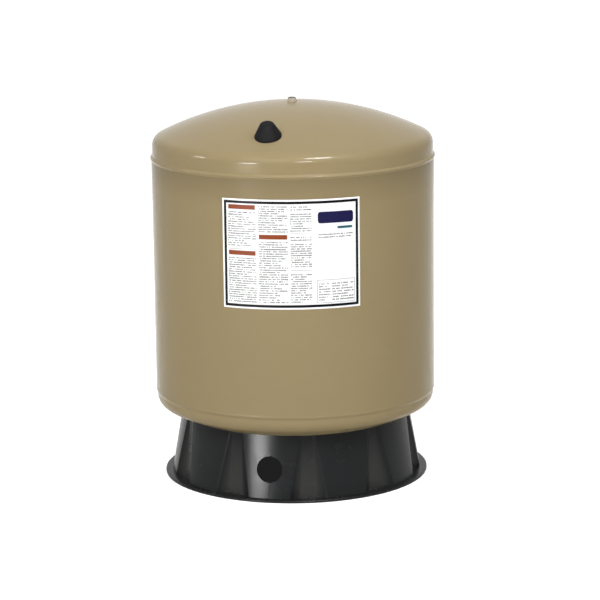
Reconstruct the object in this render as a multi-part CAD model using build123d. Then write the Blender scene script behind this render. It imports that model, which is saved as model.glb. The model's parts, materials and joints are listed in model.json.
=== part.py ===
"""Upright well pressure tank: a welded steel vessel on a fluted plastic skirt.

Millimetres, +Z up. The origin is on the floor at the centre of the skirt. The skirt's pipe
hole, the bottom elbow and the air valve all face -Y.
"""
import os
from math import acos, asin, atan2, cos, degrees, radians, sin, sqrt, tan

from build123d import *

# Steel vessel
tank_diameter = 558.8       # outside the rolled shell
steel = 2.0                 # sheet of the shell, both heads and the clench ring
shell_length = 467.0        # between the two round seams
bottom_height = 80.5        # of the middle of the lower head above the floor
crown_radius = 600.0        # outside of both dished heads
knuckle_radius = 22.0       # outside, between a head's crown and its straight rim
upper_straight = 24.0       # straight rim of the upper head that shows above its seam
lower_straight = 11.0       # straight rim of the lower head that shows below its seam
head_lap = 12.0             # how far a head's rim reaches into the shell
bead_width = 10.0           # round weld beads, along the tank
bead_proud = 1.9            # how far they stand out of the shell
seam_width = 7.0            # the shell's long weld, at the back
seam_proud = 0.9

# Fluted skirt
lobe_count = 10
skirt_inset = 50.9          # faces of the lobes in from the shell, where the head sits on them
skirt_flare = 22.0          # how much further out those faces are at the floor
skirt_wall = 4.0
ledge_width = 16.0          # seat under the head, measured in from the top of the lobes
flange_width = 13.5         # foot flange, out from the faces of the lobes
foot_thickness = 4.5
foot_edge_round = 1.5
flute_top_depth = 3.0       # of the flutes' flat floors behind the lobes, at the top
flute_foot_depth = 17.0     # and at the floor
flute_top_floor = 19.0      # width of that flat floor, at the top
flute_foot_floor = 31.0     # and at the floor
flute_spread = 1.6          # how much a flute's side runs sideways for each mm it comes out
lobe_edge_round = 4.0
flute_root_round = 4.0
pipe_hole_radius = 25.4

# Bottom connection
socket_wall = 3.9
socket_length = 26.0
socket_clearance = 1.5      # between the socket and the middle of the head
socket_mouth = 62.0         # how far the elbow's mouth is from the tank's centre line
port_thread_radius = 15.1
port_thread_length = 20.0
elbow_bore_radius = 13.0
elbow_wall = 3.0
neck_bore_radius = 11.5
neck_wall = 3.5
neck_rise = 14.0            # above the inside of the lower head
weld_clearance = 0.3        # between the neck's weld and the elbow's barrel
neck_clearance = 0.3        # the liner's hole round the neck
seal_width = 9.0
seal_thickness = 2.5
clamp_nut_across = 50.0
clamp_nut_height = 7.0
clamp_nut_chamfer = 1.0
guard_radius = 21.0
guard_thickness = 2.5
guard_spigot = 5.0
guard_spigot_wall = 1.5
guard_hole_radius = 1.6
guard_hole_ring = 8.0       # radius of the ring of holes
guard_hole_count = 8

# Liner and diaphragm
liner_gap = 0.2
liner_wall = 2.0
diaphragm_wall = 3.0
clench_rise = 227.0         # top of the clench ring above the lower seam
clench_leg = 20.0
hump_clearance = 0.3        # between the diaphragm and what it drapes over at the neck
hump_slope_run = 26.0

# Hanging nut, on the top
nut_base_radius = 9.3
nut_base_height = 3.0
nut_across = 14.0
nut_height = 8.5
nut_chamfer = 0.8
nut_thread_radius = 4.25
nut_thread_depth = 7.0

# Air valve and its cover, square to the crown
valve_inset = 68.4          # in from the shell
boss_radius = 11.0
boss_height = 9.0
boss_spigot_radius = 9.0
boss_spigot_reach = 0.5     # past the inside of the head
stem_thread_radius = 5.0
stem_thread_reach = 8.5     # of the body's thread into the boss
hex_across = 14.0
hex_height = 5.0
stem_radius = 3.85
stem_length = 11.0
stem_chamfer = 0.5
ring_wire = 0.9             # radius of the O-ring's wire
ring_land = 0.25            # free width outside the O-ring in its recess
core_thread_radius = 2.6
core_thread_length = 3.5
core_radius = 2.0
core_clearance = 0.1        # round the core, below its thread
core_length = 10.0
core_recess = 1.0           # the core's top below the stem's mouth
core_spring_room = 1.45
core_guide_clearance = 0.06  # round the pin
core_guide_length = 2.0
pin_radius = 0.6
pin_above_core = 0.6
pin_collar_clearance = 0.1  # in the core's spring room
pin_collar_height = 0.7
pin_collar_depth = 0.5      # the collar's top below the core's
cup_radius = 1.65
cup_height = 1.2
cup_gap = 0.05              # between the shut cup and the core
foot_disc_height = 0.5
packing_height = 1.2
spring_wire_radius = 0.17
spring_coils = 5
cover_base_radius = 26.0
cover_top_radius = 12.5
cover_height = 28.0
cover_rim_height = 2.5
cover_wall = 2.2
cover_top_round = 5.0
cover_gap = 0.3             # between the cover's rim and the head
cover_hub_wall = 2.0
cover_hub_fit = 0.08        # round the boss
cover_hub_foot = 2.0        # the hub's lower end above the head

# Label
label_width = 269.5         # along the shell
label_height = 211.0
label_thickness = 0.25
label_drop = 42.5           # its upper edge below the upper seam
label_turn = 11.6           # degrees from -Y towards +X, to the label's middle

cutter_reach = 6.0          # how far a cutter runs past the skin that it goes through

# Worked out from the values above
shell_radius = tank_diameter / 2
head_radius = shell_radius - steel
knuckle_offset = head_radius - knuckle_radius
crown_drop = sqrt((crown_radius - knuckle_radius) ** 2 - knuckle_offset ** 2)
tangent_angle = degrees(acos(knuckle_offset / (crown_radius - knuckle_radius)))
lower_crown_centre = bottom_height + crown_radius
lower_rim = lower_crown_centre - crown_drop
lower_seam_height = lower_rim + lower_straight
upper_seam_height = lower_seam_height + shell_length
upper_rim = upper_seam_height + upper_straight
upper_crown_centre = upper_rim - crown_drop
liner_inset = steel + liner_gap
diaphragm_inset = liner_inset + liner_wall
lobe_step = 360 / lobe_count
skirt_top_radius = shell_radius - skirt_inset
skirt_foot_radius = skirt_top_radius + skirt_flare
foot_radius = skirt_foot_radius + flange_width
socket_radius = port_thread_radius + socket_wall
elbow_barrel_radius = elbow_bore_radius + elbow_wall
neck_radius = neck_bore_radius + neck_wall
pipe_height = bottom_height - socket_clearance - socket_radius
neck_weld = bottom_height - pipe_height - elbow_barrel_radius - weld_clearance
clench_height = lower_seam_height + clench_rise
valve_offset = shell_radius - valve_inset


def above_bottom(radius, inset=0.0):
    """Height of the lower head's crown, or of a skin inset from it, at a radius."""
    return lower_crown_centre - sqrt((crown_radius - inset) ** 2 - radius ** 2)


neck_top = above_bottom(0, steel) + neck_rise
seal_foot = above_bottom(neck_radius, diaphragm_inset)
seal_rim = above_bottom(neck_radius + seal_width, diaphragm_inset)
seal_top = seal_rim + seal_thickness
guard_top = neck_top + guard_thickness
core_guide_radius = pin_radius + core_guide_clearance
pin_collar_radius = core_spring_room - pin_collar_clearance
stem_top = boss_height + hex_height + stem_length
core_top = stem_top - core_recess
core_foot = core_top - core_length
core_shoulder = core_foot + core_guide_length
packing_foot = core_top - core_thread_length - packing_height
collar_foot = core_top - pin_collar_height - pin_collar_depth
cup_foot = core_foot - cup_gap - cup_height
seat_height = above_bottom(skirt_top_radius)
form_top = seat_height + 2 * ledge_width  # of the skirt's forms, past the head's seat


def on_circle(centre, radius, angle):
    """Point in the XZ plane, at an angle in degrees from +X."""
    turn = radians(angle)
    return (centre[0] + radius * cos(turn), 0, centre[1] + radius * sin(turn))


def arc(centre, radius, start, end):
    return ThreePointArc(
        on_circle(centre, radius, start),
        on_circle(centre, radius, (start + end) / 2),
        on_circle(centre, radius, end),
    )


def path(*points):
    return Polyline(*[(x, 0, z) for x, z in points])


def turned(*edges):
    """Solid of revolution from the edges that go round one face in the XZ plane."""
    return revolve(make_face(edges), Axis.Z)


def ring(inner, outer, bottom, top):
    return turned(path((inner, bottom), (outer, bottom), (outer, top), (inner, top), (inner, bottom)))


def post(radius, bottom, top):
    return turned(path((0, bottom), (radius, bottom), (radius, top), (0, top), (0, bottom)))


def hexagon(across, bottom, top):
    flat = RegularPolygon(across / 2, 6, major_radius=False)
    return Pos(0, 0, bottom) * extrude(flat, top - bottom)


def round_pattern(shape, count, step):
    return [Rot(0, 0, index * step) * shape for index in range(count)]


def dish_line(inset, rim):
    """Half section of a dished skin: straight rim, knuckle and crown, with the knuckle's
    start at height 0 and the crown above it. Returns its edges from the rim to the axis."""
    radius = head_radius - inset
    return [
        path((radius, rim), (radius, 0)),
        arc((knuckle_offset, 0), knuckle_radius - inset, 0, tangent_angle),
        arc((0, -crown_drop), crown_radius - inset, tangent_angle, 90),
    ]


def dish(outer_inset, inner_inset, rim):
    """Dished skin between two insets, from its rim to the middle of its crown."""
    outer_top = crown_radius - outer_inset - crown_drop
    inner_top = crown_radius - inner_inset - crown_drop
    return turned(
        *dish_line(outer_inset, rim),
        path((0, outer_top), (0, inner_top)),
        *dish_line(inner_inset, rim),
        path((head_radius - inner_inset, rim), (head_radius - outer_inset, rim)),
    )


def upside_down(shape):
    return mirror(shape, about=Plane.XY)


# Vessel

def make_upper_head():
    head = Pos(0, 0, upper_rim) * dish(0, steel, -(upper_straight + head_lap))
    return head - at_valve(post(boss_spigot_radius, -cutter_reach, cutter_reach))


def make_lower_head():
    head = Pos(0, 0, lower_rim) * upside_down(dish(0, steel, -(lower_straight + head_lap)))
    middle = above_bottom(0)
    return head - post(neck_radius, middle - cutter_reach, middle + cutter_reach)


def make_shell():
    """Rolled shell, with both ends bevelled for the round welds."""
    low, high, bevel = lower_seam_height, upper_seam_height, bead_width / 2
    return turned(path(
        (head_radius, low), (shell_radius, low + bevel), (shell_radius, high - bevel),
        (head_radius, high), (head_radius, low),
    ))


def weld_bead(side):
    """Round bead at height 0 that fills the shell's bevel; side is 1 on the upper seam."""
    half = bead_width / 2
    root, toe, cap = (head_radius, 0), (shell_radius, -side * half), (head_radius, side * half)
    face = ThreePointArc(
        (toe[0], 0, toe[1]), (shell_radius + bead_proud, 0, 0), (cap[0], 0, cap[1])
    )
    return turned(path(cap, root, toe), face)


def make_shell_seam_weld():
    """Crowned strip up the back of the shell, between the two round beads."""
    half_angle = degrees(asin(seam_width / 2 / shell_radius))
    left = Vector(shell_radius, 0).rotate(Axis.Z, 90 + half_angle)
    right = Vector(shell_radius, 0).rotate(Axis.Z, 90 - half_angle)
    section = make_face([
        ThreePointArc(left, (0, shell_radius), right),
        ThreePointArc(right, (0, shell_radius + seam_proud), left),
    ])
    foot = lower_seam_height + bead_width / 2
    return Pos(0, 0, foot) * extrude(section, shell_length - bead_width)


def make_hanging_nut():
    """Hexagon on a round weld flange, seated on the middle of the crown."""
    middle = (0, upper_crown_centre)
    top = upper_crown_centre + crown_radius
    rim_angle = degrees(acos(nut_base_radius / crown_radius))
    flange_top = top + nut_base_height
    flange = turned(
        arc(middle, crown_radius, 90, rim_angle),
        path(
            (nut_base_radius, on_circle(middle, crown_radius, rim_angle)[2]),
            (nut_base_radius, flange_top), (0, flange_top), (0, top),
        ),
    )
    nut = flange + hexagon(nut_across, flange_top, top + nut_height)
    nut = chamfer(nut.faces().sort_by(Axis.Z)[-1].edges(), nut_chamfer)
    return nut - post(nut_thread_radius, top + nut_height - nut_thread_depth, top + nut_height)


# Skirt

def lobe_cone(inset):
    """Plain cone through the faces of the lobes, from the floor past the head's seat."""
    slope = (skirt_foot_radius - skirt_top_radius) / seat_height
    foot_face = skirt_foot_radius - inset * sqrt(1 + slope ** 2)
    return turned(path(
        (0, 0), (foot_face, 0), (foot_face - slope * form_top, form_top), (0, form_top), (0, 0),
    ))


def flute_section(height, depth, floor_width, inset):
    """Trapezium across a flute that faces +X: flat floor inside, open past the foot."""
    face = skirt_foot_radius - (skirt_foot_radius - skirt_top_radius) * height / seat_height
    floor = face - depth - inset
    half_floor = floor_width / 2 + inset * (sqrt(1 + flute_spread ** 2) - flute_spread)
    mouth = foot_radius + skirt_wall
    half_mouth = half_floor + (mouth - floor) * flute_spread
    corners = [(floor, -half_floor), (mouth, -half_mouth), (mouth, half_mouth), (floor, half_floor)]
    return make_face(Polyline(*[(x, y, height) for x, y in corners], close=True))


def flute(inset):
    """Cutter for one flute: its flat floor and sides run straight from the floor up."""
    share = form_top / seat_height
    top_depth = flute_foot_depth + (flute_top_depth - flute_foot_depth) * share
    top_floor = flute_foot_floor + (flute_top_floor - flute_foot_floor) * share
    return loft([
        flute_section(0, flute_foot_depth, flute_foot_floor, inset),
        flute_section(form_top, top_depth, top_floor, inset),
    ], ruled=True)


def fluted_cone(inset):
    """Lobed body. One lobe is centred on -Y, so the flutes start half a step from it."""
    cutters = round_pattern(flute(inset), lobe_count, lobe_step)
    first = -90 + lobe_step / 2
    return lobe_cone(inset) - [Rot(0, 0, first) * cutter for cutter in cutters]


def make_base_skirt():
    """Moulded skirt: fluted wall, flat foot flange and a dished ledge under the head."""
    head_form = Pos(0, 0, lower_crown_centre) * Sphere(crown_radius)
    ledge_form = Pos(0, 0, lower_crown_centre) * Sphere(crown_radius + skirt_wall)
    body = fluted_cone(0) - head_form
    uprights = [edge for edge in body.edges() if abs(edge.tangent_at(0.5).Z) > 0.5]
    uprights.sort(key=lambda edge: edge.center().X ** 2 + edge.center().Y ** 2)
    body = fillet(uprights[2 * lobe_count:], lobe_edge_round)
    roots = [edge for edge in body.edges() if is_flute_root(edge)]
    body = fillet(roots, flute_root_round)
    foot = post(foot_radius, 0, foot_thickness)
    foot = fillet(foot.faces().sort_by(Axis.Z)[-1].edges(), foot_edge_round)
    hollow = fluted_cone(skirt_wall) - ledge_form
    mouth = post(skirt_top_radius - ledge_width, 0, lower_seam_height)
    pipe_hole = along_port(post(pipe_hole_radius, 0, foot_radius))
    return body + foot - hollow - mouth - pipe_hole


def is_flute_root(edge):
    """True for the upright edges where a flute's flat floor meets its sides."""
    middle = edge.center()
    face = skirt_foot_radius - (skirt_foot_radius - skirt_top_radius) * middle.Z / seat_height
    depth = flute_foot_depth - (flute_foot_depth - flute_top_depth) * middle.Z / seat_height
    reach = sqrt(middle.X ** 2 + middle.Y ** 2)
    return abs(edge.tangent_at(0.5).Z) > 0.5 and reach < face - depth / 2


# Bottom connection

def along_port(shape):
    """Turns a shape's own axis to the elbow's mouth, towards -Y at the pipe's height."""
    return Pos(0, 0, pipe_height) * Rot(90, 0, 0) * shape


def make_system_elbow():
    """Forged elbow: threaded socket towards -Y and a neck up through the lower head."""
    outside = Pos(0, 0, pipe_height) * Sphere(elbow_barrel_radius)
    outside += along_port(post(elbow_barrel_radius, 0, socket_mouth))
    outside += along_port(post(socket_radius, socket_mouth - socket_length, socket_mouth))
    outside += post(neck_radius, pipe_height, neck_top)
    inside = Pos(0, 0, pipe_height) * Sphere(elbow_bore_radius)
    inside += along_port(post(elbow_bore_radius, 0, socket_mouth))
    inside += along_port(post(port_thread_radius, socket_mouth - port_thread_length, socket_mouth))
    inside += post(neck_bore_radius, pipe_height, neck_top)
    return outside - inside


def make_elbow_weld():
    """Fillet weld in the corner between the neck and the underside of the head."""
    inner = (neck_radius, above_bottom(neck_radius))
    outer = (neck_radius + neck_weld, above_bottom(neck_radius + neck_weld))
    inner_angle = -degrees(acos(inner[0] / crown_radius))
    outer_angle = -degrees(acos(outer[0] / crown_radius))
    seat = arc((0, lower_crown_centre), crown_radius, inner_angle, outer_angle)
    return turned(seat, path(outer, (neck_radius, inner[1] - neck_weld), inner))


def make_liner_seal():
    outer = neck_radius + seal_width
    return turned(path(
        (neck_radius, seal_foot), (outer, seal_rim), (outer, seal_top), (neck_radius, seal_top),
        (neck_radius, seal_foot),
    ))


def make_clamp_nut():
    top = seal_top + clamp_nut_height
    nut = hexagon(clamp_nut_across, seal_top, top)
    nut = chamfer(nut.faces().sort_by(Axis.Z)[-1].edges(), clamp_nut_chamfer)
    return nut - post(neck_radius, seal_top, top)


def make_port_guard():
    """Drilled cap in the neck, so that the diaphragm can't be pushed into the pipe."""
    guard = post(guard_radius, neck_top, guard_top)
    spigot_foot = neck_top - guard_spigot
    guard += ring(neck_bore_radius - guard_spigot_wall, neck_bore_radius, spigot_foot, neck_top)
    drill = post(guard_hole_radius, neck_top, guard_top)
    holes = round_pattern(Pos(guard_hole_ring, 0, 0) * drill, guard_hole_count, 360 / guard_hole_count)
    return guard - holes - drill


# Liner, diaphragm and clench ring

def make_liner():
    rim = lower_rim - (clench_height - steel)
    liner = Pos(0, 0, lower_rim) * upside_down(dish(liner_inset, diaphragm_inset, rim))
    middle = above_bottom(0)
    return liner - post(
        neck_radius + neck_clearance, middle, middle + diaphragm_inset + cutter_reach
    )


def diaphragm_side(inset, flat, level):
    """Half section of one side, from the rim to the axis, with the hump over the neck."""
    radius = head_radius - inset
    crown = crown_radius - inset
    rim = lower_rim - (clench_height - steel)
    foot = flat + hump_slope_run
    foot_angle = degrees(acos(foot / crown))
    foot_level = crown * sin(radians(foot_angle)) - crown_drop
    return [
        path((radius, rim), (radius, 0)),
        arc((knuckle_offset, 0), knuckle_radius - inset, 0, tangent_angle),
        arc((0, -crown_drop), crown, tangent_angle, foot_angle),
        path((foot, foot_level), (flat, level), (0, level)),
    ]


def make_diaphragm():
    """Diaphragm as the tank is shipped: the air charge holds it down on the liner."""
    rim = lower_rim - (clench_height - steel)
    flat = clamp_nut_across / 2 / cos(radians(30)) + hump_clearance
    level = lower_rim - (guard_top + hump_clearance)
    inner_inset = diaphragm_inset + diaphragm_wall
    hump_foot = above_bottom(flat + hump_slope_run, diaphragm_inset)
    hump_angle = atan2(guard_top + hump_clearance - hump_foot, hump_slope_run)
    inner_flat = flat + diaphragm_wall * tan(hump_angle / 2)
    skin = turned(
        *diaphragm_side(diaphragm_inset, flat, level),
        path((0, level), (0, level - diaphragm_wall)),
        *diaphragm_side(inner_inset, inner_flat, level - diaphragm_wall),
        path((head_radius - inner_inset, rim), (head_radius - diaphragm_inset, rim)),
    )
    return Pos(0, 0, lower_rim) * upside_down(skin)


def make_clench_ring():
    """Channel rolled round the rims of the liner and the diaphragm, against the shell."""
    outer_leg = head_radius - steel
    inner_leg = head_radius - diaphragm_inset - diaphragm_wall
    web = clench_height - steel
    foot = web - clench_leg
    return turned(path(
        (head_radius, foot), (head_radius, clench_height), (inner_leg - steel, clench_height),
        (inner_leg - steel, foot), (inner_leg, foot), (inner_leg, web), (outer_leg, web),
        (outer_leg, foot), (head_radius, foot),
    ))


# Air valve. Its shapes are made on their own axis, with height 0 on the crown.

def at_valve(shape):
    lean = degrees(asin(valve_offset / crown_radius))
    return Pos(0, 0, upper_crown_centre) * Rot(lean, 0, 0) * Pos(0, 0, crown_radius) * shape


def make_valve_boss():
    """Weld boss: spigot through the head, and a recess for the O-ring in its top."""
    spigot_angle = degrees(acos(boss_spigot_radius / crown_radius))
    boss_angle = degrees(acos(boss_radius / crown_radius))
    spigot_level = crown_radius * (sin(radians(spigot_angle)) - 1)
    boss_level = crown_radius * (sin(radians(boss_angle)) - 1)
    foot = -steel - boss_spigot_reach
    recess_radius = stem_thread_radius + 2 * ring_wire + ring_land
    recess_floor = boss_height - 2 * ring_wire
    return turned(
        arc((0, -crown_radius), crown_radius, spigot_angle, boss_angle),
        path(
            (boss_radius, boss_level), (boss_radius, boss_height), (recess_radius, boss_height),
            (recess_radius, recess_floor), (stem_thread_radius, recess_floor),
            (stem_thread_radius, foot), (boss_spigot_radius, foot),
            (boss_spigot_radius, spigot_level),
        ),
    )


def make_valve_body():
    """Brass stem with a hexagon: thread into the boss, bore for the core."""
    hex_top = boss_height + hex_height
    body = post(stem_thread_radius, boss_height - stem_thread_reach, boss_height)
    body += hexagon(hex_across, boss_height, hex_top)
    body += post(stem_radius, hex_top, stem_top)
    body = chamfer(body.faces().sort_by(Axis.Z)[-1].edges(), stem_chamfer)
    body -= post(core_radius + core_clearance, boss_height - stem_thread_reach, stem_top)
    return body - post(core_thread_radius, packing_foot, stem_top)


def make_valve_o_ring():
    return Pos(0, 0, boss_height - ring_wire) * Torus(stem_thread_radius + ring_wire, ring_wire)


def make_valve_packing():
    return ring(core_radius, core_thread_radius, packing_foot, packing_foot + packing_height)


def make_valve_core():
    """Turned barrel: thread at the top, room for the spring and a guide for the pin."""
    thread_foot = core_top - core_thread_length
    return turned(path(
        (core_guide_radius, core_foot), (core_radius, core_foot), (core_radius, thread_foot),
        (core_thread_radius, thread_foot), (core_thread_radius, core_top),
        (core_spring_room, core_top), (core_spring_room, core_shoulder),
        (core_guide_radius, core_shoulder), (core_guide_radius, core_foot),
    ))


def make_valve_pin():
    """Pin with the collar that the spring pushes on and the disc that carries the cup."""
    pin = post(pin_radius, cup_foot, core_top + pin_above_core)
    pin += post(pin_collar_radius, collar_foot, collar_foot + pin_collar_height)
    return pin + post(cup_radius, cup_foot - foot_disc_height, cup_foot)


def make_valve_cup():
    return ring(pin_radius, cup_radius, cup_foot, cup_foot + cup_height)


def make_valve_spring():
    """Coil between the core's shoulder and the pin's collar."""
    coil_radius = (pin_radius + core_spring_room) / 2
    height = collar_foot - core_shoulder - 2 * spring_wire_radius
    centre_line = Helix(height / spring_coils, height, coil_radius)
    wire = Plane(centre_line @ 0, z_dir=centre_line % 0) * Circle(spring_wire_radius)
    return Pos(0, 0, core_shoulder + spring_wire_radius) * sweep(wire, path=centre_line)


def cover_form(inset):
    """Solid rounded cone; with an inset it is the room inside the cover."""
    foot = cover_base_radius - inset
    top = cover_height - inset
    form = turned(path(
        (0, -cover_rim_height), (foot, -cover_rim_height), (foot, cover_rim_height),
        (cover_top_radius - inset, top), (0, top), (0, -cover_rim_height),
    ))
    return fillet(form.faces().sort_by(Axis.Z)[-1].edges(), cover_top_round - inset)


def make_valve_cover():
    """Moulded cover: thin wall, with a hub inside that pushes over the boss."""
    hub_bore = boss_radius + cover_hub_fit
    roof = cover_height - cover_wall / 2
    crown = Pos(0, 0, -crown_radius) * Sphere(crown_radius + cover_gap)
    hub = ring(hub_bore, hub_bore + cover_hub_wall, cover_hub_foot, roof)
    hub &= cover_form(cover_wall / 2)
    return cover_form(0) - cover_form(cover_wall) - crown + hub


# Label

def make_label():
    """Sheet wrapped on the shell, with its middle turned from the pipe hole."""
    span = degrees(label_width / shell_radius)
    top = upper_seam_height - label_drop
    foot = top - label_height
    outside = shell_radius + label_thickness
    sheet = make_face(path(
        (shell_radius, foot), (outside, foot), (outside, top), (shell_radius, top), (shell_radius, foot)
    ))
    return Rot(0, 0, -90 + label_turn - span / 2) * revolve(sheet, Axis.Z, span)


parts = {
    "upper_head": make_upper_head(),
    "shell": make_shell(),
    "lower_head": make_lower_head(),
    "upper_weld_bead": Pos(0, 0, upper_seam_height) * weld_bead(1),
    "lower_weld_bead": Pos(0, 0, lower_seam_height) * weld_bead(-1),
    "shell_seam_weld": make_shell_seam_weld(),
    "hanging_nut": make_hanging_nut(),
    "base_skirt": make_base_skirt(),
    "system_elbow": make_system_elbow(),
    "elbow_weld": make_elbow_weld(),
    "liner_seal": make_liner_seal(),
    "clamp_nut": make_clamp_nut(),
    "port_guard": make_port_guard(),
    "liner": make_liner(),
    "diaphragm": make_diaphragm(),
    "clench_ring": make_clench_ring(),
    "valve_boss": at_valve(make_valve_boss()),
    "valve_body": at_valve(make_valve_body()),
    "valve_o_ring": at_valve(make_valve_o_ring()),
    "valve_packing": at_valve(make_valve_packing()),
    "valve_core": at_valve(make_valve_core()),
    "valve_pin": at_valve(make_valve_pin()),
    "valve_cup": at_valve(make_valve_cup()),
    "valve_spring": at_valve(make_valve_spring()),
    "valve_cover": at_valve(make_valve_cover()),
    "label": make_label(),
}

os.makedirs("parts", exist_ok=True)
for node, shape in parts.items():
    export_step(shape, f"parts/{node}.step")
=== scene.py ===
import json
import math

import bmesh
import bpy
from mathutils import Matrix, Vector


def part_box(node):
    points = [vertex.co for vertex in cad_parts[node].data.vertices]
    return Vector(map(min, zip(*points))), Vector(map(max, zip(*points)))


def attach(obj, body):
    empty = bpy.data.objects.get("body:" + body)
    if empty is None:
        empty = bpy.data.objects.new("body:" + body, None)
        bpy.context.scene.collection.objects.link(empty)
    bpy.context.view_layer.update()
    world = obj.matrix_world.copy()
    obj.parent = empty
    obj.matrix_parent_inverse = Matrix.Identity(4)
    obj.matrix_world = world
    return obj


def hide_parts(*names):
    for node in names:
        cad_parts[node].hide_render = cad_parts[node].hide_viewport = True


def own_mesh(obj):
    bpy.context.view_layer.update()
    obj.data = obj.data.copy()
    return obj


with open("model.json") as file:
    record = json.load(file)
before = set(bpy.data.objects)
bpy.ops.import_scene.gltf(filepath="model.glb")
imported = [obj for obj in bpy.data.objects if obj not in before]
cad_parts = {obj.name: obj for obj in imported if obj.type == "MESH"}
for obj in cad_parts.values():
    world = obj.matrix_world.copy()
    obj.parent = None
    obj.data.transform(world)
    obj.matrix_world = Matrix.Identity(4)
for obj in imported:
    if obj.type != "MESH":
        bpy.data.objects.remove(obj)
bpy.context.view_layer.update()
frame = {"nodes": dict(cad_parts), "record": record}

mm = 0.001
print("frame loaded")


# Node helpers

def feed(tree, socket, value):  # links a node's result, or writes a plain value
    if isinstance(value, Field):
        value = value.socket
    if isinstance(value, bpy.types.NodeSocket):
        tree.links.new(value, socket)
    else:
        socket.default_value = value


def addNode(tree, kind, values=(), **settings):
    node = tree.nodes.new(kind)
    for key, value in settings.items():
        setattr(node, key, value)
    for key, value in dict(values).items():
        feed(tree, node.inputs[key], value)
    return node


class Field:  # a number inside a node tree, so that a rule can be written as a sum
    def __init__(self, tree, socket):
        self.tree, self.socket = tree, socket

    def op(self, operation, *others):
        terms = dict(enumerate((self, *others)))
        node = addNode(self.tree, "ShaderNodeMath", terms, operation=operation)
        return Field(self.tree, node.outputs[0])

    def held(self):  # kept between 0 and 1
        return self.op("MAXIMUM", 0.0).op("MINIMUM", 1.0)

    def __add__(self, other):
        return self.op("ADD", other)

    def __sub__(self, other):
        return self.op("SUBTRACT", other)

    def __mul__(self, other):
        return self.op("MULTIPLY", other)

    def __truediv__(self, other):
        return self.op("DIVIDE", other)

    def __radd__(self, other):
        return self + other

    def __rmul__(self, other):
        return self * other

    def __rsub__(self, other):
        return self * -1 + other


def mixed(first, second, share):
    return first + (second - first) * share


def chosen(tree, index, options):  # the option whose number is the index
    node = tree.nodes.new("GeometryNodeIndexSwitch")
    node.data_type = "FLOAT"
    while len(node.index_switch_items) < len(options):
        node.index_switch_items.new()
    for socket, value in zip(node.inputs, (index, *options)):
        feed(tree, socket, value)
    return Field(tree, node.outputs[0])


def coated(tree, geometry, material):
    return addNode(tree, "GeometryNodeSetMaterial", {"Geometry": geometry, "Material": material}).outputs[0]


def split(tree, vector):
    parts = addNode(tree, "ShaderNodeSeparateXYZ", {0: vector})
    return [Field(tree, parts.outputs[number]) for number in range(3)]


def positionParts(tree):  # in a geometry tree
    return split(tree, addNode(tree, "GeometryNodeInputPosition").outputs[0])


def objectParts(tree):  # in a material
    return split(tree, addNode(tree, "ShaderNodeTexCoord").outputs["Object"])


def pointNumber(tree, corners):  # a grid's points, as the number of the column and the place in it
    index = Field(tree, addNode(tree, "GeometryNodeInputIndex").outputs[0])
    column = (index / corners + 0.001).op("FLOOR")
    return index, column, index - column * corners


def moved(tree, geometry, across, up, out):
    position = addNode(tree, "ShaderNodeCombineXYZ", {0: across, 1: up, 2: out}).outputs[0]
    return addNode(tree, "GeometryNodeSetPosition", {0: geometry, "Position": position}).outputs[0]


def merged(tree, geometry, distance):
    return addNode(tree, "GeometryNodeMergeByDistance", {0: geometry, "Distance": distance}).outputs[0]


def newTree(name, sizes):
    tree = bpy.data.node_groups.new(name, "GeometryNodeTree")
    tree.interface.new_socket(name="Geometry", in_out="INPUT", socket_type="NodeSocketGeometry")
    for label in sizes:
        tree.interface.new_socket(name=label, in_out="INPUT", socket_type="NodeSocketFloat")
    tree.interface.new_socket(name="Geometry", in_out="OUTPUT", socket_type="NodeSocketGeometry")
    given = tree.nodes.new("NodeGroupInput")
    return tree, {label: Field(tree, given.outputs[label]) for label in sizes}


def closeTree(tree, geometry):
    whole = addNode(tree, "GeometryNodeRealizeInstances", {0: geometry}).outputs[0]
    result = tree.nodes.new("NodeGroupOutput")
    tree.links.new(whole, result.inputs[0])


def grow(name, tree, sizes):  # runs a tree with these sizes and returns the plain mesh
    holder = bpy.data.objects.new(name + "Holder", bpy.data.meshes.new(name + "Holder"))
    bpy.context.scene.collection.objects.link(holder)
    modifier = holder.modifiers.new("grow", "NODES")
    modifier.node_group = tree
    for item in tree.interface.items_tree:
        if item.item_type == "SOCKET" and item.in_out == "INPUT" and item.name in sizes:
            modifier[item.identifier] = float(sizes[item.name])
    graph = bpy.context.evaluated_depsgraph_get()
    mesh = bpy.data.meshes.new_from_object(holder.evaluated_get(graph), depsgraph=graph)
    holder.modifiers.remove(modifier)
    bpy.data.objects.remove(holder)
    mesh.name = name
    return mesh


# Mesh helpers

sameMeshPoint = 0.002 * mm  # closer points than this are one


def smoothed(mesh, angle=35, merge=False):
    work = bmesh.new()
    work.from_mesh(mesh)
    if merge:
        bmesh.ops.remove_doubles(work, verts=work.verts, dist=sameMeshPoint)
    bmesh.ops.recalc_face_normals(work, faces=work.faces)
    work.to_mesh(mesh)
    work.free()
    mesh.polygons.foreach_set("use_smooth", [True] * len(mesh.polygons))
    mesh.set_sharp_from_angle(angle=math.radians(angle))
    return mesh


def addPiece(name, mesh, material, nodes=(), body="tank"):
    piece = bpy.data.objects.new(name, mesh)
    bpy.context.scene.collection.objects.link(piece)
    if material is not None:
        mesh.materials.clear()
        mesh.materials.append(material)
    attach(piece, body)
    if nodes:
        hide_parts(*nodes)
    return piece


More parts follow.
